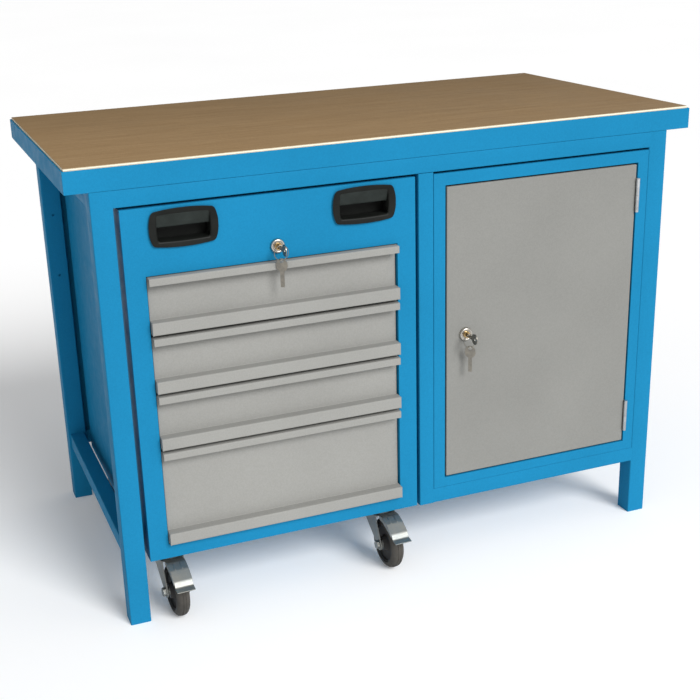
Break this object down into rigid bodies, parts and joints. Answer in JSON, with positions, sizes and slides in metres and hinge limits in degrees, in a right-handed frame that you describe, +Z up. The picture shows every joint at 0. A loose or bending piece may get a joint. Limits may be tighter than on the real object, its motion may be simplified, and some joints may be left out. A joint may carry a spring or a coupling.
{
  "type": "workbench",
  "caption": "Welded steel workbench with a wooden top, a lockable cabinet and a roll-out drawer cart on casters.",
  "frame": {"origin": "on the floor at the centre of the footprint; the brake pedals reach out in front of the worktop, so the worktop's own centre is 30 mm behind it", "axes": "+Z is up, the front with the drawers and the door faces -Y, and +X runs along the worktop from the cart to the cabinet"},
  "size_m": [1.2, 0.68, 0.85],
  "materials": {
    "blue_steel": "satin powder coat",
    "grey_steel": "satin powder coat",
    "wood": "fine streaked, lacquered",
    "black_plastic": "matte",
    "zinc": "zinc plated",
    "galvanised": "galvanised",
    "rubber": "matte",
    "nickel": "nickel plated"
  },
  "bodies": {
    "bench": {"worktop_board": "wood", "top_edge_frame": "blue_steel", "leg_front_left": "blue_steel", "leg_front_right": "blue_steel", "leg_rear_left": "blue_steel", "leg_rear_right": "blue_steel", "post_front_middle": "blue_steel", "rail_front_top": "blue_steel", "rail_rear_top": "blue_steel", "rail_left_top": "blue_steel", "rail_right_top": "blue_steel", "rail_left_lower": "blue_steel", "rail_right_lower": "blue_steel", "rail_rear_lower": "blue_steel", "rail_cabinet_lower": "blue_steel", "rear_panel": "blue_steel", "cabinet_shell": "blue_steel", "cabinet_shelf": "grey_steel", "hinge_upper_frame_half": "galvanised", "hinge_lower_frame_half": "galvanised"},
    "door": {"cabinet_door": "grey_steel", "hinge_upper_door_half": "galvanised", "hinge_lower_door_half": "galvanised", "door_lock_body": "nickel"},
    "door_key_set": {"door_lock_plug": "nickel", "door_key": "nickel"},
    "door_spare_keys": {"door_key_ring": "nickel", "door_spare_key": "nickel"},
    "cart": {"cart_shell": "blue_steel", "runner_panel_left": "galvanised", "runner_panel_right": "galvanised", "grip_cup_left": "black_plastic", "grip_cup_right": "black_plastic", "cart_lock_body": "nickel", "caster_front_left_plate": "zinc", "caster_front_right_plate": "zinc", "caster_rear_left_fork": "zinc", "caster_rear_right_fork": "zinc"},
    "cart_key_set": {"cart_lock_plug": "nickel", "cart_key": "nickel"},
    "cart_spare_keys": {"cart_key_ring": "nickel", "cart_spare_key": "nickel"},
    "drawer_1": {"drawer_1_front": "grey_steel", "drawer_1_box": "galvanised"},
    "drawer_2": {"drawer_2_front": "grey_steel", "drawer_2_box": "galvanised"},
    "drawer_3": {"drawer_3_front": "grey_steel", "drawer_3_box": "galvanised"},
    "drawer_4": {"drawer_4_front": "grey_steel", "drawer_4_box": "galvanised"},
    "front_left_swivel": {"caster_front_left_fork": "zinc", "caster_front_left_axle": "zinc"},
    "front_left_wheel": {"caster_front_left_wheel": "rubber"},
    "front_left_brake": {"caster_front_left_brake_pedal": "zinc"},
    "rear_left_wheel": {"caster_rear_left_wheel": "rubber"},
    "front_right_swivel": {"caster_front_right_fork": "zinc", "caster_front_right_axle": "zinc"},
    "front_right_wheel": {"caster_front_right_wheel": "rubber"},
    "front_right_brake": {"caster_front_right_brake_pedal": "zinc"},
    "rear_right_wheel": {"caster_rear_right_wheel": "rubber"}
  },
  "joints": [
    {"name": "cart_roll_out", "type": "slide", "parent": "bench", "child": "cart", "axis": [0, -1, 0], "range_m": [0, 0.7]},
    {"name": "drawer_1_slide", "type": "slide", "parent": "cart", "child": "drawer_1", "axis": [0, -1, 0], "range_m": [0, 0.4]},
    {"name": "drawer_2_slide", "type": "slide", "parent": "cart", "child": "drawer_2", "axis": [0, -1, 0], "range_m": [0, 0.4]},
    {"name": "drawer_3_slide", "type": "slide", "parent": "cart", "child": "drawer_3", "axis": [0, -1, 0], "range_m": [0, 0.4]},
    {"name": "drawer_4_slide", "type": "slide", "parent": "cart", "child": "drawer_4", "axis": [0, -1, 0], "range_m": [0, 0.4]},
    {"name": "door_hinge", "type": "hinge", "parent": "bench", "child": "door", "pos_m": [0.4897, -0.28355, 0.46], "axis": [0, 0, 1], "range_deg": [0, 110]},
    {"name": "door_key_turn", "type": "hinge", "parent": "door", "child": "door_key_set", "pos_m": [0.1225, -0.27975, 0.4625], "axis": [0, 1, 0], "range_deg": [0, 90]},
    {"name": "door_spare_keys_swing", "type": "hinge", "parent": "door", "child": "door_spare_keys", "pos_m": [0.1225, -0.30025, 0.4625], "axis": [0, 1, 0], "range_deg": [-45, 45]},
    {"name": "cart_key_turn", "type": "hinge", "parent": "cart", "child": "cart_key_set", "pos_m": [-0.244, -0.27975, 0.681], "axis": [0, 1, 0], "range_deg": [0, 90]},
    {"name": "cart_spare_keys_swing", "type": "hinge", "parent": "cart", "child": "cart_spare_keys", "pos_m": [-0.244, -0.30025, 0.681], "axis": [0, 1, 0], "range_deg": [-45, 45]},
    {"name": "front_left_swivel_turn", "type": "hinge", "parent": "cart", "child": "front_left_swivel", "pos_m": [-0.47, -0.22875, 0.118], "axis": [0, 0, 1], "range_deg": [-25, 238]},
    {"name": "front_left_wheel_spin", "type": "hinge", "parent": "front_left_swivel", "child": "front_left_wheel", "pos_m": [-0.46817, -0.27071, 0.05], "axis": [0.999, 0.0436, 0], "continuous": true},
    {"name": "front_left_brake_press", "type": "hinge", "parent": "front_left_swivel", "child": "front_left_brake", "pos_m": [-0.46841, -0.26522, 0.1087], "axis": [0.999, 0.0436, 0], "range_deg": [0, 10]},
    {"name": "front_right_swivel_turn", "type": "hinge", "parent": "cart", "child": "front_right_swivel", "pos_m": [-0.04, -0.22875, 0.118], "axis": [0, 0, 1], "continuous": true},
    {"name": "front_right_wheel_spin", "type": "hinge", "parent": "front_right_swivel", "child": "front_right_wheel", "pos_m": [-0.03853, -0.27072, 0.05], "axis": [0.9994, 0.0349, 0], "continuous": true},
    {"name": "front_right_brake_press", "type": "hinge", "parent": "front_right_swivel", "child": "front_right_brake", "pos_m": [-0.03873, -0.26523, 0.1087], "axis": [0.9994, 0.0349, 0], "range_deg": [0, 10]},
    {"name": "rear_left_wheel_spin", "type": "hinge", "parent": "cart", "child": "rear_left_wheel", "pos_m": [-0.47, 0.23025, 0.05], "axis": [1, 0, 0], "continuous": true},
    {"name": "rear_right_wheel_spin", "type": "hinge", "parent": "cart", "child": "rear_right_wheel", "pos_m": [-0.04, 0.23025, 0.05], "axis": [1, 0, 0], "continuous": true}
  ]
}
